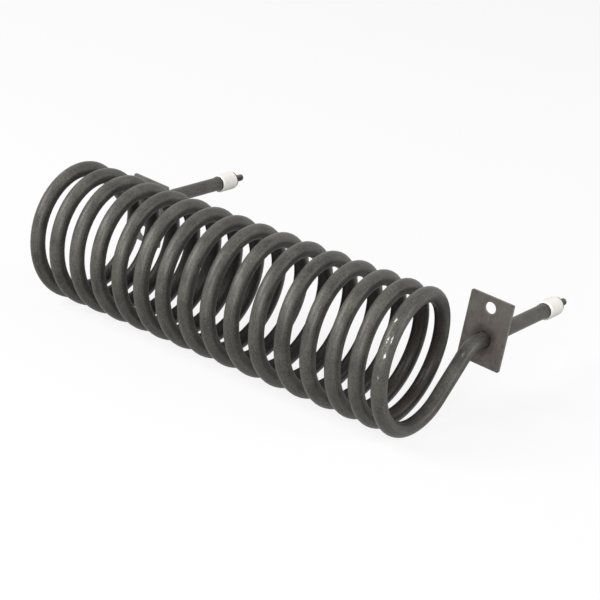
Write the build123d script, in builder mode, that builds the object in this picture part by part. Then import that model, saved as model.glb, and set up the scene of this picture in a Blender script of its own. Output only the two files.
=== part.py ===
from build123d import *
import os
from math import cos, pi, radians, sin, sqrt

# Coiled tubular heating element, millimetres, +Z up.
# The plates' back faces lie in the plane y = 0, and the origin is midway between their bolt holes.
# The coil runs along X in front of that plane, and both legs point to +Y through it.
# The element looks the same when it is turned half a turn about the Y axis.

# Sheath: one seamless steel tube
TUBE_DIAMETER = 8.0
TUBE_WALL = 0.8
MOUTH_FLARE = 0.45          # how far the mouth is belled out, on the radius
MOUTH_FLARE_LENGTH = 3.0

# Coil
COIL_DIAMETER = 75.0        # over the outside of the turns
COIL_PITCH = 14.4
WHOLE_TURNS = 15            # and a half: from the top of the first turn to the bottom of the last
COIL_SHIFT = 1.0            # the whole winding, towards the right leg
TURN_DRIFT = (0.2, -2.15, 0.8, -0.8)    # uneven winding: 1 to 4 half waves of drift along the axis
TURN_LEAN = (-0.4, 0.0, 0.55, 1.4)      # front of a turn ahead of its middle, by powers of the place
TURN_NOD = 0.55             # top of the last turn ahead of its middle, and top of the first one behind

# Tails: straight tangents that leave the coil and bend into the legs
TAKEOFF_ANGLE = 42.0        # how far past top or bottom the tail leaves the turn, degrees
TAIL_BEND_RADIUS = 16.0     # centreline
LEG_OFFSET = 2.5            # right leg below the coil's axis, left leg above it
LEG_REACH = 63.0            # plates' back faces to the mouth of the sheath

# Mounting plates
PLATE_STANDOFF = 6.5        # end of the tail's bend to the plate's front face
PLATE_THICKNESS = 1.5
PLATE_WIDTH = 25.0
PLATE_BELOW_TUBE = 13.9     # tube centre to the edge away from the bolt hole
PLATE_CORNER_RADIUS = 0.8
PLATE_HOLE_FIT = 0.05       # on the radius, round the tube
PLATE_HOLE_BEVEL = 0.5
PLATE_TURN = 3.0            # each plate turned on its tube, bolt hole outwards, degrees
BOLT_HOLE_DIAMETER = 6.5
BOLT_HOLE_RISE = 17.6       # tube centre to bolt hole centre
BOLT_HOLE_LAND = 2.75       # metal between the bolt hole and the edge

# Inside the sheath
PIN_DIAMETER = 3.0
WINDING_DIAMETER = 2.8
WINDING_LEAD = 8.0          # end of the tail's bend to the end of the winding, where the pin starts
SEAL_LENGTH = 4.0

# Terminal
SPIGOT_LENGTH = 3.0         # straight spigot inside the sheath, beyond the belled mouth
SPIGOT_FIT = 0.1            # on the radius, bush in the sheath
BUSH_OVERHANG = 1.3         # on the radius, bush head beyond the tube
BUSH_LENGTH = 13.0          # outside the sheath
BUSH_EDGE_RADIUS = 1.0
PIN_FIT = 0.1               # on the radius, bush round the pin
STUD_SHOULDER = 0.5         # on the radius, stud beyond the pin
STUD_REACH = 9.5            # stud beyond the washer
STUD_END_RADIUS = 1.2
WASHER_DIAMETER = 9.6
WASHER_THICKNESS = 0.8

BORE_DIAMETER = TUBE_DIAMETER - 2 * TUBE_WALL
BUSH_DIAMETER = TUBE_DIAMETER + 2 * BUSH_OVERHANG
STUD_DIAMETER = PIN_DIAMETER + 2 * STUD_SHOULDER
PLATE_ABOVE_TUBE = BOLT_HOLE_RISE + BOLT_HOLE_DIAMETER / 2 + BOLT_HOLE_LAND
COIL_RADIUS = (COIL_DIAMETER - TUBE_DIAMETER) / 2
COIL_TURNS = WHOLE_TURNS + 0.5
HALF_TURNS = COIL_TURNS / 2
LEAD_TURNS = TAKEOFF_ANGLE / 360
LEG_X = COIL_PITCH * (HALF_TURNS + LEAD_TURNS / 2)
SIDES = {"left": -1, "right": 1}

# Tail, measured from the coil's axis: where it leaves the coil, and both ends of its bend
TAKEOFF = radians(TAKEOFF_ANGLE)
LEAVE_Y = COIL_RADIUS * sin(TAKEOFF)
LEAVE_DEPTH = COIL_RADIUS * cos(TAKEOFF)
BEND_DEPTH = LEG_OFFSET + TAIL_BEND_RADIUS * (1 - cos(TAKEOFF))
BEND_Y = LEAVE_Y + (LEAVE_DEPTH - BEND_DEPTH) * cos(TAKEOFF) / sin(TAKEOFF)
BEND_END_Y = BEND_Y + TAIL_BEND_RADIUS * sin(TAKEOFF)

AXIS_Y = -(BEND_END_Y + PLATE_STANDOFF + PLATE_THICKNESS)
LEG_START = AXIS_Y + BEND_END_Y
WINDING_END = LEG_START + WINDING_LEAD


def turn_angle(turn):
    """Angle about the axis, from +Y. The last turn ends at the bottom."""
    return 2 * pi * (turn - HALF_TURNS) - pi / 2


def turn_place(turn):
    """Distance along the axis at a number of turns from the middle."""
    share = turn / HALF_TURNS
    phase = pi * (share + 1) / 2
    drift = sum(size * sin(wave * phase) for wave, size in enumerate(TURN_DRIFT, 1))
    lean = sum(size * share**power for power, size in enumerate(TURN_LEAN))
    tilt = TURN_NOD * share * sin(turn_angle(turn)) - lean * cos(turn_angle(turn))
    return COIL_SHIFT + COIL_PITCH * turn + drift + tilt


def turn_slope(turn):
    """Axial advance for each turn at that place."""
    step = 0.001
    return (turn_place(turn + step) - turn_place(turn - step)) / (2 * step)


def coil_point(turn, place):
    angle = turn_angle(turn)
    return Vector(place, AXIS_Y + COIL_RADIUS * cos(angle), COIL_RADIUS * sin(angle))


def coil_direction(turn, slope):
    angle = turn_angle(turn)
    return Vector(slope / (2 * pi * COIL_RADIUS), -sin(angle), cos(angle)).normalized()


def arc_pair(start, start_direction, end, end_direction):
    """Two arcs that meet smoothly and keep both end directions."""
    span = end - start
    both = start_direction + end_direction
    turned = 2 * (1 - start_direction.dot(end_direction))
    reach = (sqrt(span.dot(both) ** 2 + turned * span.dot(span)) - span.dot(both)) / turned
    meeting = (start + start_direction * reach + end - end_direction * reach) * 0.5
    first = TangentArc(start, meeting, tangent=start_direction)
    TangentArc(first @ 1, end, tangent=first % 1)


def coil_stations():
    """Place and slope each quarter turn. The legs stand square to the axis, so the ends have no slope."""
    quarters = int(COIL_TURNS * 4)
    turns = [-HALF_TURNS + COIL_TURNS * step / quarters for step in range(quarters + 1)]
    inner = [(turn, turn_place(turn), turn_slope(turn)) for turn in turns]
    ends = HALF_TURNS + LEAD_TURNS
    return [(-ends, -LEG_X, 0.0)] + inner + [(ends, LEG_X, 0.0)]


def tail_corners(side, leg_end):
    """Leg end, both ends of the bend, and the point where the tail leaves the coil."""
    corners = ((leg_end, LEG_OFFSET), (LEG_START, LEG_OFFSET), (AXIS_Y + BEND_Y, BEND_DEPTH),
               (AXIS_Y + LEAVE_Y, LEAVE_DEPTH))
    return [Vector(side * LEG_X, y, -side * depth) for y, depth in corners]


def element_route(leg_end):
    """Centreline from one leg, round the coil, to the other leg."""
    stations = coil_stations()
    left = tail_corners(-1, leg_end)
    right = tail_corners(1, leg_end)
    with BuildLine() as route:
        Line(left[0], left[1])
        TangentArc(left[1], left[2], tangent=(0, -1, 0))
        Line(left[2], left[3])
        for (turn, place, slope), (next_turn, next_place, next_slope) in zip(stations, stations[1:]):
            arc_pair(coil_point(turn, place), coil_direction(turn, slope),
                     coil_point(next_turn, next_place), coil_direction(next_turn, next_slope))
        tail = Line(right[3], right[2])
        TangentArc(right[2], right[1], tangent=tail % 1)
        Line(right[1], right[0])
    return route.wires()[0]


def leg_plane(side, y):
    """Plane square to a leg. Its local y points away from the bolt hole."""
    return Plane((side * LEG_X, y, -side * LEG_OFFSET), x_dir=(side, 0, 0), z_dir=(0, 1, 0))


def plate_plane(side):
    """The plate's front face, turned with the plate."""
    turn = radians(PLATE_TURN)
    across = (side * cos(turn), 0, -side * sin(turn))
    return Plane(leg_plane(side, -PLATE_THICKNESS).origin, x_dir=across, z_dir=(0, 1, 0))


def half_section(side):
    """Plane through a leg's axis: local x is the radius, local y is the distance beyond the mouth."""
    return Plane((side * LEG_X, LEG_REACH, -side * LEG_OFFSET), x_dir=(side, 0, 0), z_dir=(0, 0, side))


def leg_axis(side):
    return Axis((side * LEG_X, LEG_REACH, -side * LEG_OFFSET), (0, 1, 0))


def save(part, name):
    part.label = name
    export_step(part, f"parts/{name}.step")


os.makedirs("parts", exist_ok=True)

# Distances beyond the mouth
BUSH_START = -(MOUTH_FLARE_LENGTH + SPIGOT_LENGTH)
SEAL_START = BUSH_START - SEAL_LENGTH
WASHER_END = BUSH_LENGTH + WASHER_THICKNESS

# Sheath: the long bent tube, with a belled mouth at each end
sheath_route = element_route(LEG_REACH - MOUTH_FLARE_LENGTH)
with BuildPart() as sheath:
    with BuildSketch(Plane(sheath_route @ 0, z_dir=sheath_route % 0)):
        Circle(TUBE_DIAMETER / 2)
        Circle(BORE_DIAMETER / 2, mode=Mode.SUBTRACT)
    sweep(path=sheath_route)
    for side in SIDES.values():
        with BuildSketch(half_section(side)) as mouth:
            with BuildLine():
                Polyline(
                    (BORE_DIAMETER / 2, -MOUTH_FLARE_LENGTH),
                    (TUBE_DIAMETER / 2, -MOUTH_FLARE_LENGTH),
                    (TUBE_DIAMETER / 2 + MOUTH_FLARE, 0),
                    (BORE_DIAMETER / 2 + MOUTH_FLARE, 0),
                    close=True,
                )
            make_face()
        revolve(axis=leg_axis(side))
save(sheath.part, "sheath")

# Resistance winding: the envelope of the fine wire spiral, from pin to pin
winding_route = element_route(WINDING_END)
with BuildPart() as resistance_winding:
    with BuildSketch(Plane(winding_route @ 0, z_dir=winding_route % 0)):
        Circle(WINDING_DIAMETER / 2)
    sweep(path=winding_route)
save(resistance_winding.part, "resistance_winding")

# Insulation: packed magnesia between the winding or pins and the sheath
with BuildPart() as insulation:
    with BuildSketch(Plane(winding_route @ 0, z_dir=winding_route % 0)):
        Circle(BORE_DIAMETER / 2)
        Circle(WINDING_DIAMETER / 2, mode=Mode.SUBTRACT)
    sweep(path=winding_route)
    for side in SIDES.values():
        with BuildSketch(leg_plane(side, WINDING_END)):
            Circle(BORE_DIAMETER / 2)
            Circle(PIN_DIAMETER / 2, mode=Mode.SUBTRACT)
        extrude(amount=LEG_REACH + SEAL_START - WINDING_END)
save(insulation.part, "insulation")

for name, side in SIDES.items():
    # Mounting plate: flat steel, one hole for the tube and one for the bolt
    with BuildPart() as mounting_plate:
        with BuildSketch(plate_plane(side)):
            with Locations((0, (PLATE_BELOW_TUBE - PLATE_ABOVE_TUBE) / 2)):
                outline = Rectangle(PLATE_WIDTH, PLATE_ABOVE_TUBE + PLATE_BELOW_TUBE)
            fillet(outline.vertices(), PLATE_CORNER_RADIUS)
            Circle(TUBE_DIAMETER / 2 + PLATE_HOLE_FIT, mode=Mode.SUBTRACT)
            with Locations((0, -BOLT_HOLE_RISE)):
                Circle(BOLT_HOLE_DIAMETER / 2, mode=Mode.SUBTRACT)
        extrude(amount=PLATE_THICKNESS)
        tube_hole = mounting_plate.faces().filter_by(GeomType.CYLINDER).sort_by(SortBy.AREA)[-1]
        front_rim = tube_hole.edges().filter_by(GeomType.CIRCLE).sort_by(Axis.Y)[0]
        chamfer(front_rim, PLATE_HOLE_BEVEL)
    save(mounting_plate.part, f"mounting_plate_{name}")

    # Terminal pin: thin through the bush and washer, with a threaded stud that holds both on the mouth
    with BuildPart() as terminal_pin:
        with BuildSketch(leg_plane(side, WINDING_END)):
            Circle(PIN_DIAMETER / 2)
        extrude(amount=LEG_REACH + WASHER_END - WINDING_END)
        with BuildSketch(leg_plane(side, LEG_REACH + WASHER_END)):
            Circle(STUD_DIAMETER / 2)
        extrude(amount=STUD_REACH)
        fillet(terminal_pin.edges().sort_by(Axis.Y)[-1], STUD_END_RADIUS)
    save(terminal_pin.part, f"terminal_pin_{name}")

    # Mouth seal: moisture seal between the insulation and the bush
    with BuildPart() as mouth_seal:
        with BuildSketch(leg_plane(side, LEG_REACH + SEAL_START)):
            Circle(BORE_DIAMETER / 2)
            Circle(PIN_DIAMETER / 2, mode=Mode.SUBTRACT)
        extrude(amount=SEAL_LENGTH)
    save(mouth_seal.part, f"mouth_seal_{name}")

    # Ceramic bush: a spigot and cone that seat in the mouth, and a round head outside it
    with BuildPart() as ceramic_bush:
        with BuildSketch(half_section(side)):
            with BuildLine():
                Polyline(
                    (PIN_DIAMETER / 2 + PIN_FIT, BUSH_START),
                    (BORE_DIAMETER / 2 - SPIGOT_FIT, BUSH_START),
                    (BORE_DIAMETER / 2 - SPIGOT_FIT, -MOUTH_FLARE_LENGTH),
                    (BORE_DIAMETER / 2 + MOUTH_FLARE - SPIGOT_FIT, 0),
                    (BUSH_DIAMETER / 2, 0),
                    (BUSH_DIAMETER / 2, BUSH_LENGTH),
                    (PIN_DIAMETER / 2 + PIN_FIT, BUSH_LENGTH),
                    close=True,
                )
            make_face()
        revolve(axis=leg_axis(side))
        head_rims = ceramic_bush.edges().filter_by(GeomType.CIRCLE).sort_by(SortBy.RADIUS)[-2:]
        fillet(head_rims, BUSH_EDGE_RADIUS)
    save(ceramic_bush.part, f"ceramic_bush_{name}")

    # Terminal washer: between the bush and the stud's shoulder
    with BuildPart() as terminal_washer:
        with BuildSketch(leg_plane(side, LEG_REACH + BUSH_LENGTH)):
            Circle(WASHER_DIAMETER / 2)
            Circle(PIN_DIAMETER / 2, mode=Mode.SUBTRACT)
        extrude(amount=WASHER_THICKNESS)
    save(terminal_washer.part, f"terminal_washer_{name}")
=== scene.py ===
"""Coiled tubular heating element: its wound tube, threaded studs, finishes, studio and camera."""

import logging
from dataclasses import dataclass, field
from enum import Enum
from math import atan2, cos, pi, radians, sin, sqrt, tau

import bmesh
import bpy
from mathutils import Matrix, Vector


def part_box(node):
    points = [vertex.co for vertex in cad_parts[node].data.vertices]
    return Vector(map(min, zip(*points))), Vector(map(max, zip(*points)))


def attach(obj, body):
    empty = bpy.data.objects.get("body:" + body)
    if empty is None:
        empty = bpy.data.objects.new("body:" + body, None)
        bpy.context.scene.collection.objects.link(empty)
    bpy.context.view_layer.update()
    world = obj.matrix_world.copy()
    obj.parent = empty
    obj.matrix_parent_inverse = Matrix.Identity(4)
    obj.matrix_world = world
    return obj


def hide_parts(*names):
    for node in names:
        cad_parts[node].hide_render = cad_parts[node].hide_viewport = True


logging.basicConfig(level=logging.INFO, format="%(message)s")
LOG = logging.getLogger("heating_element")

MM = 0.001
MERGE = 0.0001 * MM                 # points nearer than this are one point
DRAWN = "drawn"                     # attribute: a point's place on the tube while it was still straight
NOISE_LOW, NOISE_HIGH = 0.3, 0.7    # nearly all of a noise's values lie between these

BMPart = bmesh.types.BMVert | bmesh.types.BMEdge | bmesh.types.BMFace
NodeInput = float | tuple[float, ...] | bpy.types.NodeSocket | bpy.types.Node


class Side(Enum):
    """The two ends of the element. The value is the sign of X."""

    LEFT = -1
    RIGHT = 1

    @property
    def word(self) -> str:
        """The side's name as the nodes spell it."""
        return self.name.lower()


# ---------------------------------------------------------------- sizes


@dataclass(frozen=True)
class ElementSizes:
    """The element's own sizes, in metres, as its source gives them."""

    tube_radius: float = 4.0 * MM
    tube_wall: float = 0.8 * MM
    mouth_flare: float = 0.45 * MM
    mouth_flare_length: float = 3.0 * MM
    coil_radius: float = 33.5 * MM
    pitch: float = 14.4 * MM
    turns: float = 15.5
    coil_shift: float = 1.0 * MM
    turn_drift: tuple[float, ...] = (0.2 * MM, -2.15 * MM, 0.8 * MM, -0.8 * MM)
    turn_lean: tuple[float, ...] = (-0.4 * MM, 0.0, 0.55 * MM, 1.4 * MM)
    turn_nod: float = 0.55 * MM
    takeoff: float = radians(42.0)
    bend_radius: float = 16.0 * MM
    leg_offset: float = 2.5 * MM
    leg_reach: float = 63.0 * MM
    plate_standoff: float = 6.5 * MM
    plate_thickness: float = 1.5 * MM

    @property
    def half_turns(self) -> float:
        """Turns from the middle of the coil to either end of the winding."""
        return self.turns / 2

    @property
    def lead(self) -> float:
        """Turns from an end of the winding to where the tail leaves."""
        return self.takeoff / tau

    @property
    def leg_x(self) -> float:
        """Distance of each leg from the middle plane."""
        return self.pitch * (self.half_turns + self.lead / 2)

    @property
    def coil_bottom(self) -> float:
        """Height of the coil's lowest point, on which the element stands."""
        return -(self.coil_radius + self.tube_radius)

    @property
    def bend_depth(self) -> float:
        """Depth beyond the coil's axis where the tail starts to bend."""
        return self.leg_offset + self.bend_radius * (1 - cos(self.takeoff))

    @property
    def tail_length(self) -> float:
        """Length of the straight tail between the coil and its bend."""
        return (self.coil_radius * cos(self.takeoff) - self.bend_depth) / sin(self.takeoff)

    @property
    def bend_end_y(self) -> float:
        """Distance behind the coil's axis where the leg starts."""
        bend_y = self.coil_radius * sin(self.takeoff) + self.tail_length * cos(self.takeoff)
        return bend_y + self.bend_radius * sin(self.takeoff)

    @property
    def axis_y(self) -> float:
        """The coil's axis in the frame, whose plane y = 0 is the plates' back faces."""
        return -(self.bend_end_y + self.plate_standoff + self.plate_thickness)

    @property
    def leg_start(self) -> float:
        """Where the legs start, along y."""
        return self.axis_y + self.bend_end_y

    def turn_angle(self, turn: float) -> float:
        """Angle about the coil's axis, from +Y. The last turn ends at the bottom."""
        return tau * (turn - self.half_turns) - pi / 2

    def wound_place(self, turn: float) -> float:
        """Finds the distance along the coil's axis inside the winding, uneven as it was wound.

        Args:
            turn: number of turns from the middle of the coil.

        Returns:
            The distance from the middle plane.
        """
        share = turn / self.half_turns
        phase = pi * (share + 1) / 2
        drift = sum(size * sin(wave * phase) for wave, size in enumerate(self.turn_drift, 1))
        lean = sum(size * share**power for power, size in enumerate(self.turn_lean))
        tilt = self.turn_nod * share * sin(self.turn_angle(turn)) - lean * cos(self.turn_angle(turn))
        return self.coil_shift + self.pitch * turn + drift + tilt

    def turn_place(self, turn: float) -> float:
        """Finds the distance along the coil's axis, also past the winding, where the advance fades out.

        Args:
            turn: number of turns from the middle of the coil.

        Returns:
            The distance from the middle plane.
        """
        if abs(turn) <= self.half_turns:
            return self.wound_place(turn)
        side = 1 if turn > 0 else -1
        end = side * self.half_turns
        step = 0.001
        slope = (self.wound_place(end) - self.wound_place(end - side * step)) / step * self.lead
        u = (abs(turn) - self.half_turns) / self.lead
        fade = u * u * (3 - 2 * u)
        return self.wound_place(end) * (1 - fade) + side * self.leg_x * fade + slope * u * (1 - u) ** 2

    def turn_pitch_angle(self, turn: float) -> float:
        """Finds the angle between the tube and a plane square to the coil's axis.

        Args:
            turn: number of turns from the middle of the coil.

        Returns:
            The angle in radians.
        """
        step = 0.002
        advance = (self.turn_place(turn + step) - self.turn_place(turn - step)) / (2 * step)
        return atan2(advance, tau * self.coil_radius)


SIZES = ElementSizes()


# ---------------------------------------------------------------- helpers


def linear(colour: str) -> tuple[float, float, float, float]:
    """Turns an sRGB hex colour to linear.

    Args:
        colour: the colour as six hex digits.

    Returns:
        Red, green, blue and alpha, linear.
    """
    parts = [int(colour[i : i + 2], 16) / 255 for i in (0, 2, 4)]
    red, green, blue = (c / 12.92 if c <= 0.04045 else ((c + 0.055) / 1.055) ** 2.4 for c in parts)
    return red, green, blue, 1.0


def add_node(
    tree: bpy.types.NodeTree,
    kind: str,
    settings: dict[str, object] | None = None,
    inputs: dict[str | int, NodeInput] | None = None,
) -> bpy.types.Node:
    """Adds one node with its settings, values and links.

    Args:
        tree: the node tree.
        kind: Blender's name of the node type.
        settings: the node's own properties.
        inputs: a value, a socket or a node for each input socket. A node gives its first output in use.

    Returns:
        The new node.
    """
    node = tree.nodes.new(kind)
    for name, value in (settings or {}).items():
        setattr(node, name, value)
    for name, value in (inputs or {}).items():
        if isinstance(value, bpy.types.Node):
            value = next(output for output in value.outputs if output.enabled)
        if isinstance(value, bpy.types.NodeSocket):
            tree.links.new(value, node.inputs[name])
        else:
            node.inputs[name].default_value = value
    return node


def new_material(name: str) -> tuple[bpy.types.Material, bpy.types.NodeTree]:
    """Makes a node material with an empty tree.

    Args:
        name: the real material's name.

    Returns:
        The material and its node tree.
    """
    material = bpy.data.materials.new(name)
    material.use_nodes = True
    material.node_tree.nodes.clear()
    return material, material.node_tree


def dress(piece: bpy.types.Object, material: bpy.types.Material) -> None:
    """Gives a piece one material."""
    piece.data.materials.clear()
    piece.data.materials.append(material)


def object_from(bm: bmesh.types.BMesh, name: str, crease_degrees: float = 180.0) -> bpy.types.Object:
    """Makes an object at the origin from a bmesh, smooth where it is round.

    Args:
        bm: the finished bmesh, in metres in the frame. It is freed.
        name: the piece's name.
        crease_degrees: edges that turn more than this stay sharp.

    Returns:
        The new object, linked to the scene.
    """
    mesh = bpy.data.meshes.new(name)
    bm.to_mesh(mesh)
    bm.free()
    mesh.shade_smooth()
    if crease_degrees < 180.0:
        mesh.set_sharp_from_angle(angle=radians(crease_degrees))
    piece = bpy.data.objects.new(name, mesh)
    bpy.context.scene.collection.objects.link(piece)
    return piece


# ---------------------------------------------------------------- finishes


@dataclass(frozen=True)
class Chip:
    """One bright chip in the tube's oxide: its place on the round and along the tube, and its size."""

    round_degrees: float
    along_mm: float
    length_mm: float
    width_mm: float
    strength: float = 1.0


@dataclass(frozen=True)
class OxidisedTubeSteel:
    """Heat-resisting steel tube, drawn, wound and annealed in air: a thin dark oxide, satin, faintly lined.

    Painted shade darkens the winding's inward side; each mouth has a darker thin ring; a few chips bare
    bright steel.
    """

    tube_length: float
    tube_radius: float = SIZES.tube_radius
    light: str = "5e5d57"
    dark: str = "454340"
    # painted shade: near-black brown on the winding's inward side, where the turns shade one another
    inside: str = "241d1b"
    # the thin darker ring at each mouth
    burnt: str = "1d1a18"
    steel: str = "e6e4df"
    metallic: float = 0.3
    specular: float = 0.14          # the oxide is porous and shines less than a solid one would
    coat: float = 0.15              # a thin glassy scale over the oxide, which lights up its edges
    coat_roughness: float = 0.28
    roughness: tuple[float, float] = (0.43, 0.55)   # where the mottle is dark, and where it is light
    mottle_mm: float = 11.0
    grain_mm: float = 0.9           # true oxide grain is finer, and is drawn this coarse to show
    grain_spread: tuple[float, float] = (0.34, 0.66)    # the grain's noise lies nearly all between these
    grain_shade: tuple[float, float] = (0.66, 1.34)     # factors on the colour
    draw_line_mm: float = 0.7       # spacing of the draw lines round the tube
    draw_line_run_mm: float = 14.0  # how far one line runs along the tube
    draw_line_shade: tuple[float, float] = (0.88, 1.12)
    draw_line_height: float = 0.8   # against the grain's height
    relief: float = 0.5
    relief_mm: float = 0.06
    straight_mm: float = 110.0      # leg, bend and tail together
    inside_shade_fade_mm: float = 30.0     # over which the painted shade on the inward side comes in along the coil
    inside_shade_share: float = 0.8
    inside_shade_round: tuple[float, float] = (0.1, -0.9)      # from none to all of it, in radii away from the axis
    mouth_rim_mm: tuple[float, float] = (1.26, 0.54)    # how far from a mouth the darkening starts, and is full
    mouth_share: float = 0.85
    ragged_mm: float = 0.8          # size of the notches in a chip's outline
    ragged_depth: float = 1.6
    chip_edge: tuple[float, float] = (1.45, 1.85)       # in the chip's half sizes, plus 0.8 for a mean notch
    chips: tuple[Chip, ...] = (
        Chip(66.0, 3310.5, 4.4, 1.0, 0.35), Chip(90.0, 3324.0, 3.4, 1.2),
        Chip(92.0, 3330.5, 2.6, 1.0, 0.4), Chip(82.0, 3333.6, 5.0, 1.2), Chip(56.0, 3332.8, 4.4, 1.2),
        Chip(70.0, 3329.6, 2.2, 0.9, 0.5), Chip(64.0, 3340.2, 3.0, 1.3), Chip(44.0, 3341.5, 2.2, 0.9, 0.5),
        Chip(74.0, 3349.7, 2.4, 1.1, 0.45), Chip(80.0, 3353.5, 2.0, 0.9, 0.3),
        Chip(286.0, 3422.0, 4.0, 1.0, 0.3), Chip(290.0, 3455.5, 4.0, 1.6, 0.16),
    )

    def build(self) -> bpy.types.Material:
        """Makes the tube's material. Its patterns read the place on the tube while it was still straight.

        Returns:
            The material.
        """
        material, tree = new_material("oxidised_tube_steel")
        drawn = add_node(tree, "ShaderNodeAttribute", {"attribute_name": DRAWN}).outputs["Vector"]
        mottle = add_node(
            tree, "ShaderNodeTexNoise",
            inputs={"Vector": drawn, "Scale": 1 / (self.mottle_mm * MM), "Detail": 4.0, "Roughness": 0.6})
        grain = add_node(
            tree, "ShaderNodeTexNoise",
            inputs={"Vector": drawn, "Scale": 1 / (self.grain_mm * MM), "Detail": 3.0, "Roughness": 0.75})
        squeeze = self.draw_line_mm / self.draw_line_run_mm
        stretched = add_node(
            tree, "ShaderNodeMapping", inputs={"Vector": drawn, "Scale": (1.0, 1.0, squeeze)})
        lines = add_node(
            tree, "ShaderNodeTexNoise",
            inputs={"Vector": stretched, "Scale": 1 / (self.draw_line_mm * MM), "Detail": 2.0})
        chipped = self.chipped(tree, drawn)
        oxide = self.oxide(tree, drawn, mottle, self.fine_shade(tree, grain, lines))
        colour = add_node(
            tree, "ShaderNodeMix", {"data_type": "RGBA"},
            {"Factor": chipped, "A": oxide, "B": linear(self.steel)})
        low, high = self.roughness
        rough = add_node(
            tree, "ShaderNodeMapRange",
            inputs={"Value": mottle, "From Min": NOISE_LOW, "From Max": NOISE_HIGH, "To Min": low,
                    "To Max": high})
        height = add_node(
            tree, "ShaderNodeMath", {"operation": "MULTIPLY_ADD"},
            {0: lines, 1: self.draw_line_height, 2: grain})
        sunk = add_node(tree, "ShaderNodeMath", {"operation": "SUBTRACT"}, {0: height, 1: chipped})
        bump = add_node(
            tree, "ShaderNodeBump",
            inputs={"Height": sunk, "Strength": self.relief, "Distance": self.relief_mm * MM})
        shader = add_node(
            tree, "ShaderNodeBsdfPrincipled",
            inputs={"Base Color": colour, "Metallic": self.metallic, "Roughness": rough,
                    "Specular IOR Level": self.specular, "Coat Weight": self.coat,
                    "Coat Roughness": self.coat_roughness, "Normal": bump})
        add_node(tree, "ShaderNodeOutputMaterial", inputs={"Surface": shader})
        return material

    def fine_shade(
        self, tree: bpy.types.NodeTree, grain: bpy.types.Node, lines: bpy.types.Node
    ) -> bpy.types.Node:
        """Makes the oxide's grain and draw lines lighter and darker.

        Args:
            tree: the node tree.
            grain: the grain's noise.
            lines: the draw lines' noise.

        Returns:
            The node that gives the factor on the colour.
        """
        (low, high), (dark, light) = self.grain_spread, self.grain_shade
        speckle = add_node(
            tree, "ShaderNodeMapRange",
            inputs={"Value": grain, "From Min": low, "From Max": high, "To Min": dark, "To Max": light})
        dark, light = self.draw_line_shade
        streak = add_node(
            tree, "ShaderNodeMapRange",
            inputs={"Value": lines, "From Min": NOISE_LOW, "From Max": NOISE_HIGH, "To Min": dark,
                    "To Max": light})
        return add_node(tree, "ShaderNodeMath", {"operation": "MULTIPLY"}, {0: speckle, 1: streak})

    def oxide(
        self, tree: bpy.types.NodeTree, drawn: bpy.types.NodeSocket, mottle: bpy.types.Node,
        fine: bpy.types.Node,
    ) -> bpy.types.Node:
        """Colours the oxide: mottled, with painted shade on the winding's inward side, and darker at both
        mouths.

        Args:
            tree: the node tree.
            drawn: the place on the straight tube.
            mottle: the mottle's noise.
            fine: the factor from the fine grain and the draw lines.

        Returns:
            The node that gives the colour.
        """
        half = self.tube_length / 2
        axes = add_node(tree, "ShaderNodeSeparateXYZ", inputs={"Vector": drawn})
        centred = add_node(tree, "ShaderNodeMath", {"operation": "SUBTRACT"}, {0: axes.outputs["Z"], 1: half})
        from_middle = add_node(tree, "ShaderNodeMath", {"operation": "ABSOLUTE"}, {0: centred})
        share = add_node(
            tree, "ShaderNodeMapRange",
            inputs={"Value": mottle, "From Min": NOISE_LOW, "From Max": NOISE_HIGH})
        plain = add_node(
            tree, "ShaderNodeMix", {"data_type": "RGBA"},
            {"Factor": share, "A": linear(self.dark), "B": linear(self.light)})
        # painted shade on the inward side of the winding, fading out towards the tails
        coil_end = half - self.straight_mm * MM
        wound = add_node(
            tree, "ShaderNodeMapRange",
            inputs={"Value": from_middle, "From Min": coil_end - self.inside_shade_fade_mm * MM,
                    "From Max": coil_end, "To Min": self.inside_shade_share, "To Max": 0.0})
        outward, inward = self.inside_shade_round
        facing_in = add_node(
            tree, "ShaderNodeMapRange",
            inputs={"Value": axes.outputs["Y"], "From Min": outward * self.tube_radius,
                    "From Max": inward * self.tube_radius})
        inside_shade = add_node(tree, "ShaderNodeMath", {"operation": "MULTIPLY"}, {0: facing_in, 1: wound})
        # the oxide with the painted inward shade mixed in
        browned = add_node(
            tree, "ShaderNodeMix", {"data_type": "RGBA"},
            {"Factor": inside_shade, "A": plain, "B": linear(self.inside)})
        shaded = add_node(
            tree, "ShaderNodeVectorMath", {"operation": "SCALE"}, {0: browned, "Scale": fine})
        # darker in a thin ring at each mouth
        rim_start, rim_full = self.mouth_rim_mm
        mouth = add_node(
            tree, "ShaderNodeMapRange",
            inputs={"Value": from_middle, "From Min": half - rim_start * MM,
                    "From Max": half - rim_full * MM, "To Min": 0.0, "To Max": self.mouth_share})
        return add_node(
            tree, "ShaderNodeMix", {"data_type": "RGBA"},
            {"Factor": mouth, "A": shaded, "B": linear(self.burnt)})

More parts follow.
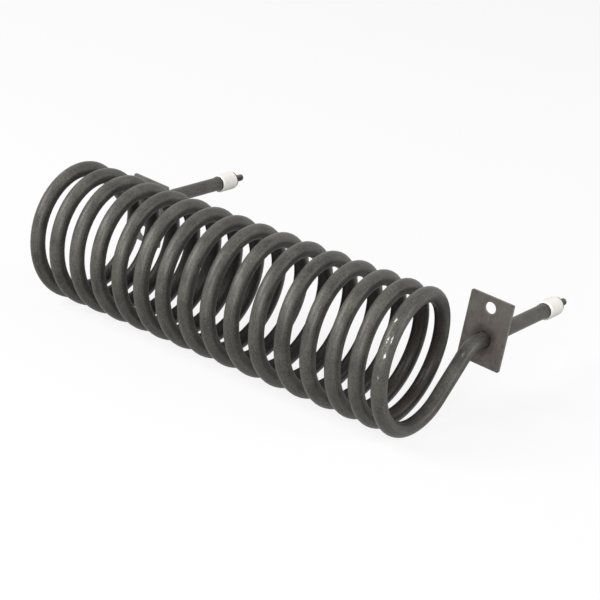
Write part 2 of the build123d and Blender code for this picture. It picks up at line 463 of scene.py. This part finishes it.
    def chipped(self, tree: bpy.types.NodeTree, drawn: bpy.types.NodeSocket) -> bpy.types.Node:
        """Bares the steel at the chips, each an uneven spot stretched along the tube.

        Args:
            tree: the node tree.
            drawn: the place on the straight tube.

        Returns:
            The node that gives how bare the steel is.
        """
        ragged = add_node(
            tree, "ShaderNodeTexNoise",
            inputs={"Vector": drawn, "Scale": 1 / (self.ragged_mm * MM), "Detail": 3.0, "Roughness": 0.6})
        inner, outer = self.chip_edge
        bare: NodeInput = 0.0
        for chip in self.chips:
            turn = radians(chip.round_degrees)
            centre = (self.tube_radius * cos(turn), self.tube_radius * sin(turn), chip.along_mm * MM)
            size = (chip.width_mm / 2 * MM, chip.width_mm / 2 * MM, chip.length_mm / 2 * MM)
            offset = add_node(
                tree, "ShaderNodeVectorMath", {"operation": "SUBTRACT"}, {0: drawn, 1: centre})
            scaled = add_node(tree, "ShaderNodeVectorMath", {"operation": "DIVIDE"}, {0: offset, 1: size})
            away = add_node(tree, "ShaderNodeVectorMath", {"operation": "LENGTH"}, {0: scaled})
            uneven = add_node(
                tree, "ShaderNodeMath", {"operation": "MULTIPLY_ADD"},
                {0: ragged, 1: self.ragged_depth, 2: away})
            spot = add_node(
                tree, "ShaderNodeMapRange",
                inputs={"Value": uneven, "From Min": inner, "From Max": outer, "To Min": chip.strength,
                        "To Max": 0.0})
            bare = add_node(tree, "ShaderNodeMath", {"operation": "MAXIMUM"}, {0: bare, 1: spot})
        return bare


@dataclass(frozen=True)
class HeatTintedPlateSteel:
    """Rolled steel plate, blued and browned by heat round the tube: warm grey, satin, with a rolled grain."""

    centre: tuple[float, float, float]
    name: str
    cool: str = "706c66"
    warm: str = "6d6661"
    dull: str = "504946"
    burnt: str = "2f2825"
    burnt_mm: float = 7.2           # from the tube's centreline to where each tint starts to give way
    dull_mm: float = 8.9
    warm_mm: float = 12.6
    cool_mm: float = 20.0
    ragged_mm: float = 7.0          # how far the clouds push the tints' edges in
    metallic: float = 0.4
    roughness: tuple[float, float] = (0.38, 0.56)
    cloud_mm: float = 7.0
    blotch_mm: float = 2.6
    blotch_spread: tuple[float, float] = (0.52, 0.78)   # only the blotches' peaks are dull
    blotch_share: float = 0.75
    rolled_grain_mm: float = 0.6    # true rolling marks are finer, and are drawn this coarse to show
    rolled_squeeze: float = 0.15    # so the marks run about seven times as far up the plate as across
    rolled_shade: tuple[float, float] = (0.88, 1.12)
    relief: float = 0.25
    relief_mm: float = 0.03

    def tint(
        self, tree: bpy.types.NodeTree, place: bpy.types.NodeSocket, cloud: bpy.types.Node
    ) -> bpy.types.Node:
        """Lays the heat's tints one after the other away from the tube, with uneven edges and dull blotches.

        Args:
            tree: the node tree.
            place: the place on the plate.
            cloud: the clouds' noise.

        Returns:
            The node that gives the colour.
        """
        away = add_node(
            tree, "ShaderNodeVectorMath", {"operation": "DISTANCE"}, {0: place, 1: self.centre})
        ragged = add_node(
            tree, "ShaderNodeMath", {"operation": "MULTIPLY_ADD"},
            {0: cloud, 1: self.ragged_mm * MM, 2: away})
        colour: NodeInput = linear(self.burnt)
        tints = ((self.burnt_mm, self.dull_mm, self.dull), (self.dull_mm, self.warm_mm, self.warm),
                 (self.warm_mm, self.cool_mm, self.cool))
        for near, far, tint in tints:
            share = add_node(
                tree, "ShaderNodeMapRange",
                inputs={"Value": ragged, "From Min": near * MM, "From Max": far * MM})
            colour = add_node(
                tree, "ShaderNodeMix", {"data_type": "RGBA"},
                {"Factor": share, "A": colour, "B": linear(tint)})
        blotch = add_node(
            tree, "ShaderNodeTexNoise",
            inputs={"Vector": place, "Scale": 1 / (self.blotch_mm * MM), "Detail": 3.0, "Roughness": 0.6})
        low, high = self.blotch_spread
        dulled = add_node(
            tree, "ShaderNodeMapRange",
            inputs={"Value": blotch, "From Min": low, "From Max": high, "To Max": self.blotch_share})
        return add_node(
            tree, "ShaderNodeMix", {"data_type": "RGBA"},
            {"Factor": dulled, "A": colour, "B": linear(self.dull)})

    def build(self) -> bpy.types.Material:
        """Makes one plate's material, with its tint centred on the tube.

        Returns:
            The material.
        """
        material, tree = new_material(self.name)
        place = add_node(tree, "ShaderNodeTexCoord").outputs["Object"]
        cloud = add_node(
            tree, "ShaderNodeTexNoise",
            inputs={"Vector": place, "Scale": 1 / (self.cloud_mm * MM), "Detail": 5.0, "Roughness": 0.6})
        rolled = add_node(
            tree, "ShaderNodeMapping", inputs={"Vector": place, "Scale": (1.0, 1.0, self.rolled_squeeze)})
        grain = add_node(
            tree, "ShaderNodeTexNoise",
            inputs={"Vector": rolled, "Scale": 1 / (self.rolled_grain_mm * MM), "Detail": 3.0})
        dark, light = self.rolled_shade
        shade = add_node(
            tree, "ShaderNodeMapRange",
            inputs={"Value": grain, "From Min": NOISE_LOW, "From Max": NOISE_HIGH, "To Min": dark,
                    "To Max": light})
        base = add_node(
            tree, "ShaderNodeVectorMath", {"operation": "SCALE"},
            {0: self.tint(tree, place, cloud), "Scale": shade})
        low, high = self.roughness
        rough = add_node(
            tree, "ShaderNodeMapRange",
            inputs={"Value": cloud, "From Min": NOISE_LOW, "From Max": NOISE_HIGH, "To Min": low,
                    "To Max": high})
        bump = add_node(
            tree, "ShaderNodeBump",
            inputs={"Height": grain, "Strength": self.relief, "Distance": self.relief_mm * MM})
        shader = add_node(
            tree, "ShaderNodeBsdfPrincipled",
            inputs={"Base Color": base, "Metallic": self.metallic, "Roughness": rough, "Normal": bump})
        add_node(tree, "ShaderNodeOutputMaterial", inputs={"Surface": shader})
        return material


@dataclass(frozen=True)
class PlainFinish:
    """A finish with one colour, a soft mottle and a fine grain."""

    name: str
    colour: str
    mottle: str
    metallic: float
    roughness: float
    mottle_mm: float
    grain_mm: float
    relief: float
    relief_mm: float = 0.05
    mottle_spread: tuple[float, float] = (0.35, 0.62)   # all mottle below the first, none above the second

    def build(self) -> bpy.types.Material:
        """Makes the material.

        Returns:
            The material.
        """
        material, tree = new_material(self.name)
        place = add_node(tree, "ShaderNodeTexCoord").outputs["Object"]
        cloud = add_node(
            tree, "ShaderNodeTexNoise",
            inputs={"Vector": place, "Scale": 1 / (self.mottle_mm * MM), "Detail": 4.0})
        grain = add_node(
            tree, "ShaderNodeTexNoise",
            inputs={"Vector": place, "Scale": 1 / (self.grain_mm * MM), "Detail": 3.0})
        low, high = self.mottle_spread
        share = add_node(
            tree, "ShaderNodeMapRange", inputs={"Value": cloud, "From Min": low, "From Max": high})
        colour = add_node(
            tree, "ShaderNodeMix", {"data_type": "RGBA"},
            {"Factor": share, "A": linear(self.mottle), "B": linear(self.colour)})
        bump = add_node(
            tree, "ShaderNodeBump",
            inputs={"Height": grain, "Strength": self.relief, "Distance": self.relief_mm * MM})
        shader = add_node(
            tree, "ShaderNodeBsdfPrincipled",
            inputs={"Base Color": colour, "Metallic": self.metallic, "Roughness": self.roughness,
                    "Normal": bump})
        add_node(tree, "ShaderNodeOutputMaterial", inputs={"Surface": shader})
        return material


# Steatite: pressed and fired, unglazed, cream white, with fine pores
STEATITE = PlainFinish("unglazed_steatite", "fdfbf4", "faf7ed", 0.0, 0.5, 3.0, 0.3, 0.12)
# Stud steel: rolled thread, darkened in the same furnace as the tube
STUD_STEEL = PlainFinish("darkened_stud_steel", "5a5956", "403e3c", 0.6, 0.42, 1.2, 0.2, 0.2)
# Spring steel washer: oil-blackened, with a dull shine
WASHER_STEEL = PlainFinish("blackened_spring_steel", "4a4845", "353331", 0.7, 0.4, 2.0, 0.2, 0.2)
# Silicone resin seal: cured, matt, straw coloured
SEAL_RESIN = PlainFinish("cured_silicone_resin", "b8a98c", "a39476", 0.0, 0.6, 1.5, 0.3, 0.2)
# Magnesia: fused grains packed hard, chalk white
MAGNESIA = PlainFinish("packed_magnesia", "ece9e1", "d9d5ca", 0.0, 0.85, 2.0, 0.25, 0.6)
# Nickel-chrome resistance wire: drawn, bright, slightly browned
RESISTANCE_WIRE = PlainFinish("nickel_chrome_wire", "a19a90", "857d72", 1.0, 0.32, 2.0, 0.2, 0.3)


# ---------------------------------------------------------------- the sheath


@dataclass
class TubeRun:
    """A tube as it is drawn, bent and wound: the ring at its running end, and the length laid behind it."""

    radius: float
    segments: int
    start: Vector
    length: float = 0.0
    tube: bmesh.types.BMesh = field(default_factory=bmesh.new)
    bm: bmesh.types.BMesh = field(default_factory=bmesh.new)
    edges: list[bmesh.types.BMEdge] = field(default_factory=list)

    def __post_init__(self) -> None:
        """Makes the first ring, square to +Y, and records each point's place on its round."""
        self.drawn = self.bm.verts.layers.float_vector.new(DRAWN)
        ring = bmesh.ops.create_circle(self.bm, segments=self.segments, radius=self.radius)["verts"]
        for vert in ring:
            vert[self.drawn] = vert.co.copy()
        bmesh.ops.rotate(self.bm, verts=ring, cent=(0, 0, 0), matrix=Matrix.Rotation(pi / 2, 3, "X"))
        bmesh.ops.translate(self.bm, verts=ring, vec=self.start)
        self.edges = list({edge for vert in ring for edge in vert.link_edges})

    @property
    def verts(self) -> list[bmesh.types.BMVert]:
        """The running ring's points."""
        return list({vert for edge in self.edges for vert in edge.verts})

    @property
    def centre(self) -> Vector:
        """The running ring's centre."""
        verts = self.verts
        return sum((vert.co for vert in verts), Vector()) / len(verts)

    def lay_down(self) -> None:
        """Adds the length made so far to the tube, and keeps only the running ring to carry on from."""
        mesh = bpy.data.meshes.new("laid_down")
        self.bm.to_mesh(mesh)
        self.tube.from_mesh(mesh)
        bpy.data.meshes.remove(mesh)
        ring = set(self.verts)
        behind = [vert for vert in self.bm.verts if vert not in ring]
        bmesh.ops.delete(self.bm, geom=behind, context="VERTS")

    def finish(self) -> bmesh.types.BMesh:
        """Lays down the last length and joins all lengths.

        Returns:
            The whole tube's skin, which faces outwards.
        """
        self.lay_down()
        self.bm.free()
        bmesh.ops.remove_doubles(self.tube, verts=self.tube.verts, dist=MERGE)
        bmesh.ops.recalc_face_normals(self.tube, faces=self.tube.faces)
        return self.tube

    def carry_on(self, made: list[BMPart], run: float) -> None:
        """Takes the new ring among what a step made as the running end.

        Args:
            made: what the step made.
            run: the step's length along the tube.
        """
        verts = {item for item in made if isinstance(item, bmesh.types.BMVert)}
        self.edges = [
            item for item in made
            if isinstance(item, bmesh.types.BMEdge) and verts.issuperset(item.verts)
        ]
        self.length += run
        for vert in verts:
            vert[self.drawn] = (*vert[self.drawn][:2], self.length)

    def draw(self, way: Vector, steps: int = 1, scale: float = 1.0) -> None:
        """Runs straight on, and opens or closes each ring by a factor.

        Args:
            way: the whole run.
            steps: rings along it.
            scale: each ring's size over the one before it.
        """
        for _ in range(steps):
            made = bmesh.ops.extrude_edge_only(self.bm, edges=self.edges)["geom"]
            self.carry_on(made, way.length / steps)
            bmesh.ops.translate(self.bm, verts=self.verts, vec=way / steps)
            if scale != 1.0:
                bmesh.ops.scale(self.bm, verts=self.verts, vec=(scale, scale, scale),
                                space=Matrix.Translation(-self.centre))

    def bend(self, centre: Vector, angle: float, radius: float, steps: int, advance: float = 0.0) -> None:
        """Turns about an axis along X.

        Args:
            centre: a point on the axis.
            angle: the whole turn, right-handed about +X.
            radius: of the tube's centreline about the axis.
            steps: rings round the turn.
            advance: the whole run along the axis meanwhile.
        """
        for _ in range(steps):
            made = bmesh.ops.spin(self.bm, geom=self.verts + self.edges, cent=centre, axis=(1, 0, 0),
                                  angle=angle / steps, steps=1, dvec=(advance / steps, 0, 0))["geom_last"]
            self.carry_on(made, sqrt((abs(angle) * radius) ** 2 + advance**2) / steps)

    def tilt(self, about: Vector, angle: float) -> None:
        """Turns the ring about a line through its centre."""
        bmesh.ops.rotate(self.bm, verts=self.verts, cent=self.centre, matrix=Matrix.Rotation(angle, 3, about))


@dataclass
class SheathTube:
    """The one bent tube: coil, tangent tails, bends, legs and belled mouths."""

    sizes: ElementSizes = SIZES
    steps_per_turn: int = 60
    bend_steps: int = 12
    straight_steps: int = 6
    segments: int = 32

    def leg(self, run: TubeRun, side: Side) -> None:
        """Runs along one leg and its belled mouth.

        Args:
            run: the tube so far.
            side: the right leg runs outwards, the left one inwards.
        """
        s = self.sizes
        bell = 1 + s.mouth_flare / s.tube_radius
        way = Vector((0, side.value, 0))
        straight = way * (s.leg_reach - s.mouth_flare_length - s.leg_start)
        if side is Side.LEFT:
            run.draw(way * s.mouth_flare_length, scale=1 / bell)
            run.draw(straight, steps=self.straight_steps)
        else:
            run.draw(straight, steps=self.straight_steps)
            run.draw(way * s.mouth_flare_length, scale=bell)

    def bend(self, run: TubeRun, side: Side) -> None:
        """Bends between a leg and its tail.

        Args:
            run: the tube so far.
            side: the end that the leg is on.
        """
        s = self.sizes
        centre = Vector((0, s.leg_start, -side.value * (s.leg_offset + s.bend_radius)))
        run.bend(centre, -s.takeoff, s.bend_radius, self.bend_steps)

    def tail(self, run: TubeRun, side: Side) -> None:
        """Runs along one straight tail, a tangent to the coil.

        Args:
            run: the tube so far.
            side: the end that the tail is on.
        """
        s = self.sizes
        way = Vector((0, side.value * cos(s.takeoff), sin(s.takeoff)))
        run.draw(way * s.tail_length, steps=self.straight_steps)

    def coil(self, run: TubeRun) -> None:
        """Winds the whole coil, ring by ring, each ring kept square to the tube.

        Args:
            run: the tube so far.
        """
        s = self.sizes
        reach = s.half_turns + s.lead
        count = round(2 * reach * self.steps_per_turn)
        centre = Vector((0, s.axis_y, 0))
        stations = [-reach + 2 * reach * step / count for step in range(count + 1)]
        pitch_angle = 0.0
        for step, (turn, next_turn) in enumerate(zip(stations, stations[1:])):
            run.bend(centre, tau * (next_turn - turn), s.coil_radius, 1,
                     s.turn_place(next_turn) - s.turn_place(turn))
            angle = s.turn_angle(next_turn)
            wanted = s.turn_pitch_angle(next_turn) if next_turn < reach else 0.0
            run.tilt(Vector((0, cos(angle), sin(angle))), wanted - pitch_angle)
            pitch_angle = wanted
            if step % self.steps_per_turn == 0:
                run.lay_down()

    def build(self) -> bpy.types.Object:
        """Draws, bends and winds the tube from its left mouth to its right one, and gives it its wall.

        Returns:
            The tube, riding on the frame in place of the plain node.
        """
        s = self.sizes
        start = Vector((-s.leg_x, s.leg_reach, s.leg_offset))
        run = TubeRun(s.tube_radius + s.mouth_flare, self.segments, start)
        self.leg(run, Side.LEFT)
        self.bend(run, Side.LEFT)
        self.tail(run, Side.LEFT)
        self.coil(run)
        self.tail(run, Side.RIGHT)
        self.bend(run, Side.RIGHT)
        self.leg(run, Side.RIGHT)
        LOG.info("sheath_tube: %.0f mm of tube, ends at %s", run.length / MM, run.centre.to_tuple(5))
        tube = object_from(run.finish(), "sheath_tube")
        wall = tube.modifiers.new("wall", "SOLIDIFY")
        wall.thickness = s.tube_wall
        wall.offset = -1.0
        dress(tube, OxidisedTubeSteel(run.length).build())
        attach(tube, "root")
        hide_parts("sheath")
        return tube


# ---------------------------------------------------------------- terminals


@dataclass
class TerminalPin:
    """One terminal pin: a plain shank through the bush, and a stud with a rolled thread outside it."""

    side: Side
    sizes: ElementSizes = SIZES
    shank_radius: float = 1.5 * MM
    bush_length: float = 13.0 * MM
    washer_thickness: float = 0.8 * MM
    stud_reach: float = 9.5 * MM
    collar: float = 0.5 * MM            # plain, against the washer
    collar_slope: float = 0.2 * MM
    tip_radius: float = 1.2 * MM
    tip_steps: int = 6
    thread_radius: float = 2.0 * MM
    thread_depth: float = 0.42 * MM
    thread_pitch: float = 0.7 * MM
    thread_sunk: float = 0.05 * MM      # how far the ridge starts inside the core
    thread_end: float = 0.7 * MM        # from the end of the ridge to the tip
    root_share: float = 0.44            # half the ridge's foot over the pitch
    crest_width: float = 0.12 * MM
    crease_degrees: float = 40.0
    steps: int = 32

    def rounded(self, bm: bmesh.types.BMesh, tip: float) -> None:
        """Draws in whatever stands outside the stud's rounded end.

        Args:
            bm: the pin along +Z.
            tip: the height of the end.
        """
        for vert in bm.verts:
            rise = vert.co.z - (tip - self.tip_radius)
            if rise <= 0:
                continue
            round_now = sqrt(max(self.tip_radius**2 - rise**2, 0.0))
            limit = self.thread_radius - self.tip_radius + round_now
            radius = vert.co.xy.length
            if radius > limit:
                vert.co.xy *= limit / radius

    def body(self, bm: bmesh.types.BMesh, foot: float, shoulder: float, tip: float) -> None:
        """Turns the shank, the collar against the washer, and the core of the thread.

        Args:
            bm: the pin's bmesh, which gets the body along +Z.
            foot: the height of the shank's inner end.
            shoulder: the height of the collar's face.
            tip: the height of the stud's end.
        """
        core = self.thread_radius - self.thread_depth
        collar_top = shoulder + self.collar
        profile = [(0.0, foot), (self.shank_radius, foot), (self.shank_radius, shoulder),
                   (self.thread_radius, shoulder), (self.thread_radius, collar_top),
                   (core, collar_top + self.collar_slope), (core, tip - self.tip_radius)]
        profile += [
            (core, tip - self.tip_radius * (1 - step / self.tip_steps))
            for step in range(1, self.tip_steps + 1)
        ]
        profile.append((0.0, tip))
        verts = [bm.verts.new((radius, 0.0, height)) for radius, height in profile]
        edges = [bm.edges.new(pair) for pair in zip(verts, verts[1:])]
        bmesh.ops.spin(bm, geom=verts + edges, axis=(0, 0, 1), cent=(0, 0, 0), angle=tau,
                       steps=self.steps, use_merge=True)
        bmesh.ops.remove_doubles(bm, verts=bm.verts, dist=MERGE)

    def thread(self, bm: bmesh.types.BMesh, start: float, end: float) -> None:
        """Winds the thread's ridge round the core, sunk a little into it.

        Args:
            bm: the pin's bmesh.
            start: the height where the ridge starts.
            end: the height where it ends.
        """
        sunk = self.thread_radius - self.thread_depth - self.thread_sunk
        half_root, half_crest = self.root_share * self.thread_pitch, self.crest_width / 2
        outline = [(sunk, -half_root), (self.thread_radius, -half_crest),
                   (self.thread_radius, half_crest), (sunk, half_root)]
        verts = [bm.verts.new((radius, 0.0, start + half_root + rise)) for radius, rise in outline]
        face = bm.faces.new(verts)
        turns = (end - start) / self.thread_pitch
        steps = round(self.steps * turns)
        bmesh.ops.spin(bm, geom=verts + face.edges[:] + [face], axis=(0, 0, 1), cent=(0, 0, 0),
                       angle=tau * turns, steps=steps, dvec=(0, 0, (end - start) / steps))

    def build(self) -> bpy.types.Object:
        """Builds the pin along +Z, then lays it along its leg.

        Returns:
            The pin, riding on the frame in place of the plain node.
        """
        s = self.sizes
        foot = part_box(f"terminal_pin_{self.side.word}")[0].y
        shoulder = s.leg_reach + self.bush_length + self.washer_thickness
        tip = shoulder + self.stud_reach
        bm = bmesh.new()
        self.body(bm, foot, shoulder, tip)
        self.thread(bm, shoulder + self.collar, tip - self.thread_end)
        self.rounded(bm, tip)
        bmesh.ops.recalc_face_normals(bm, faces=bm.faces)
        leg = Matrix.Translation((self.side.value * s.leg_x, 0, -self.side.value * s.leg_offset))
        bmesh.ops.transform(bm, matrix=leg @ Matrix.Rotation(-pi / 2, 4, "X"), verts=bm.verts)
        pin = object_from(bm, f"threaded_pin_{self.side.word}", self.crease_degrees)
        dress(pin, STUD_STEEL.build())
        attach(pin, "root")
        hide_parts(f"terminal_pin_{self.side.word}")
        LOG.info("%s: %d faces", pin.name, len(pin.data.polygons))
        return pin


# ---------------------------------------------------------------- pieces kept from the frame


@dataclass
class KeptPieces:
    """The pieces whose solids already have their true shape, and only need their finish."""

    nodes: dict[str, bpy.types.Object]
    sizes: ElementSizes = SIZES

    def dress_all(self) -> None:
        """Gives every kept piece its finish."""
        shared = {
            "ceramic_bush": STEATITE.build(),
            "terminal_washer": WASHER_STEEL.build(),
            "mouth_seal": SEAL_RESIN.build(),
            "insulation": MAGNESIA.build(),
            "resistance_winding": RESISTANCE_WIRE.build(),
        }
        for side in Side:
            centre = (side.value * self.sizes.leg_x, 0.0, -side.value * self.sizes.leg_offset)
            plate = HeatTintedPlateSteel(centre, f"heat_tinted_plate_steel_{side.word}").build()
            shared[f"mounting_plate_{side.word}"] = plate
        for name, node in self.nodes.items():
            stem = name.rsplit("_", 1)[0]
            material = shared.get(name) or shared.get(stem)
            if material is None:
                continue
            dress(node, material)
            LOG.info("%s: %s", name, material.name)


# ---------------------------------------------------------------- studio and camera


@dataclass(frozen=True)
class Lamp:
    """One square soft lamp that faces the coil."""

    name: str
    place: tuple[float, float, float]
    size: float
    watts: float

    def build(self, target: Vector) -> None:
        """Adds the lamp to the scene.

        Args:
            target: the point that it faces.
        """
        data = bpy.data.lights.new(self.name, "AREA")
        data.size = self.size
        data.energy = self.watts
        lamp = bpy.data.objects.new(self.name, data)
        bpy.context.scene.collection.objects.link(lamp)
        lamp.location = self.place
        lamp.rotation_euler = (target - Vector(self.place)).to_track_quat("-Z", "Y").to_euler()


@dataclass
class Studio:
    """A pale floor, soft lamps and the camera."""

    sizes: ElementSizes = SIZES
    lamps: tuple[Lamp, ...] = (
        Lamp("key_lamp", (-1.1, -1.3, 1.4), 1.2, 38.0),     # lights the turns' fronts and tops
        Lamp("fill_lamp", (0.9, -1.8, 0.9), 1.2, 29.0),     # softens the turns' shadows on one another
        Lamp("side_lamp", (1.8, 0.7, 0.8), 1.0, 15.0),      # lights the tails, legs and bushes
    )
    azimuth: float = radians(33.16)
    elevation: float = radians(21.14)
    roll: float = radians(8.17)
    distance: float = 0.9207
    slide_right: float = 0.0321
    slide_down: float = 0.0043
    focal_ratio: float = 2.9972      # focal length over the width of the frame
    sensor_mm: float = 36.0
    clip_end: float = 20.0
    floor_half: float = 3.0
    floor_white: str = "fafafa"      # the paper as the eye and a gloss see it
    floor_grey: str = "454544"       # the paper as it lights the element from below
    floor_glow: float = 0.86
    floor_roughness: float = 0.9
    world_light: float = 0.16

    def seen_directly(self, tree: bpy.types.NodeTree) -> bpy.types.Node:
        """Tells the rays that see the studio white from the rays that light the element.

        Args:
            tree: the node tree.

        Returns:
            The node that gives 1 for a ray of the camera, a gloss or a glass, and 0 for any other.
        """
        seen = add_node(tree, "ShaderNodeLightPath")
        sharp = add_node(
            tree, "ShaderNodeMath", {"operation": "MAXIMUM"},
            {0: seen.outputs["Is Glossy Ray"], 1: seen.outputs["Is Transmission Ray"]})
        return add_node(
            tree, "ShaderNodeMath", {"operation": "MAXIMUM"}, {0: seen.outputs["Is Camera Ray"], 1: sharp})

    def floor(self) -> bpy.types.Object:
        """Lays a flat pale floor that keeps a faint shadow.

        Returns:
            The floor.
        """
        bm = bmesh.new()
        bmesh.ops.create_grid(bm, x_segments=1, y_segments=1, size=self.floor_half)
        bmesh.ops.translate(bm, verts=bm.verts, vec=(0, self.sizes.axis_y, self.sizes.coil_bottom))
        floor = object_from(bm, "floor")
        material, tree = new_material("pale_paper_floor")
        direct = self.seen_directly(tree)
        colour = add_node(
            tree, "ShaderNodeMix", {"data_type": "RGBA"},
            {"Factor": direct, "A": linear(self.floor_grey), "B": linear(self.floor_white)})
        paper = add_node(
            tree, "ShaderNodeBsdfPrincipled",
            inputs={"Base Color": colour, "Roughness": self.floor_roughness})
        white = add_node(tree, "ShaderNodeEmission", inputs={"Color": (1, 1, 1, 1), "Strength": 1.0})
        share = add_node(tree, "ShaderNodeMath", {"operation": "MULTIPLY"}, {0: direct, 1: self.floor_glow})
        mixed = add_node(tree, "ShaderNodeMixShader", inputs={"Fac": share, 1: paper, 2: white})
        add_node(tree, "ShaderNodeOutputMaterial", inputs={"Surface": mixed})
        dress(floor, material)
        return floor

    def world(self) -> None:
        """Adds even light from all round, white where the camera or a gloss sees it."""
        world = bpy.data.worlds.new("studio_white")
        bpy.context.scene.world = world
        world.use_nodes = True
        tree = world.node_tree
        tree.nodes.clear()
        strength = add_node(
            tree, "ShaderNodeMapRange",
            inputs={"Value": self.seen_directly(tree), "To Min": self.world_light, "To Max": 1.0})
        white = add_node(
            tree, "ShaderNodeBackground", inputs={"Color": (1, 1, 1, 1), "Strength": strength})
        add_node(tree, "ShaderNodeOutputWorld", inputs={"Surface": white})

    def camera(self) -> None:
        """Places the camera at the viewing angle."""
        a, e = self.azimuth, self.elevation
        back = Vector((sin(a) * cos(e), -cos(a) * cos(e), sin(e)))
        level = Vector((cos(a), sin(a), 0))
        upright = back.cross(level)
        right = level * cos(self.roll) + upright * sin(self.roll)
        up = upright * cos(self.roll) - level * sin(self.roll)
        place = Vector((0, self.sizes.axis_y, 0)) + back * self.distance + right * self.slide_right \
            - up * self.slide_down
        data = bpy.data.cameras.new("camera")
        data.sensor_width = self.sensor_mm
        data.lens = self.sensor_mm * self.focal_ratio
        data.clip_end = self.clip_end
        camera = bpy.data.objects.new("camera", data)
        bpy.context.scene.collection.objects.link(camera)
        turn = Matrix((right, up, back)).transposed().to_4x4()
        camera.matrix_world = Matrix.Translation(place) @ turn
        bpy.context.scene.camera = camera

    def build(self) -> None:
        """Builds the whole studio."""
        self.world()
        self.floor()
        for lamp in self.lamps:
            lamp.build(Vector((0, self.sizes.axis_y, 0)))
        self.camera()
        bpy.context.scene.view_settings.view_transform = "Standard"


# ---------------------------------------------------------------- the whole


def main(frame: dict[str, object]) -> None:
    """Builds the element round the frame.
    """
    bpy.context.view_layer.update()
    SheathTube().build()
    for side in Side:
        TerminalPin(side).build()
    KeptPieces(frame["nodes"]).dress_all()
    Studio().build()


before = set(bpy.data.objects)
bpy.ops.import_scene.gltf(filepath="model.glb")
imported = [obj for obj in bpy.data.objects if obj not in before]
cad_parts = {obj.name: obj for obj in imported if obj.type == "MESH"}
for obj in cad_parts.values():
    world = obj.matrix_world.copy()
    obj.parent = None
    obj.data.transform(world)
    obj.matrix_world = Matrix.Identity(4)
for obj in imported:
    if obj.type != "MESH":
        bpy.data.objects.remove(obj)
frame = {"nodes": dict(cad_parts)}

if __name__ == "__main__":
    main(frame)
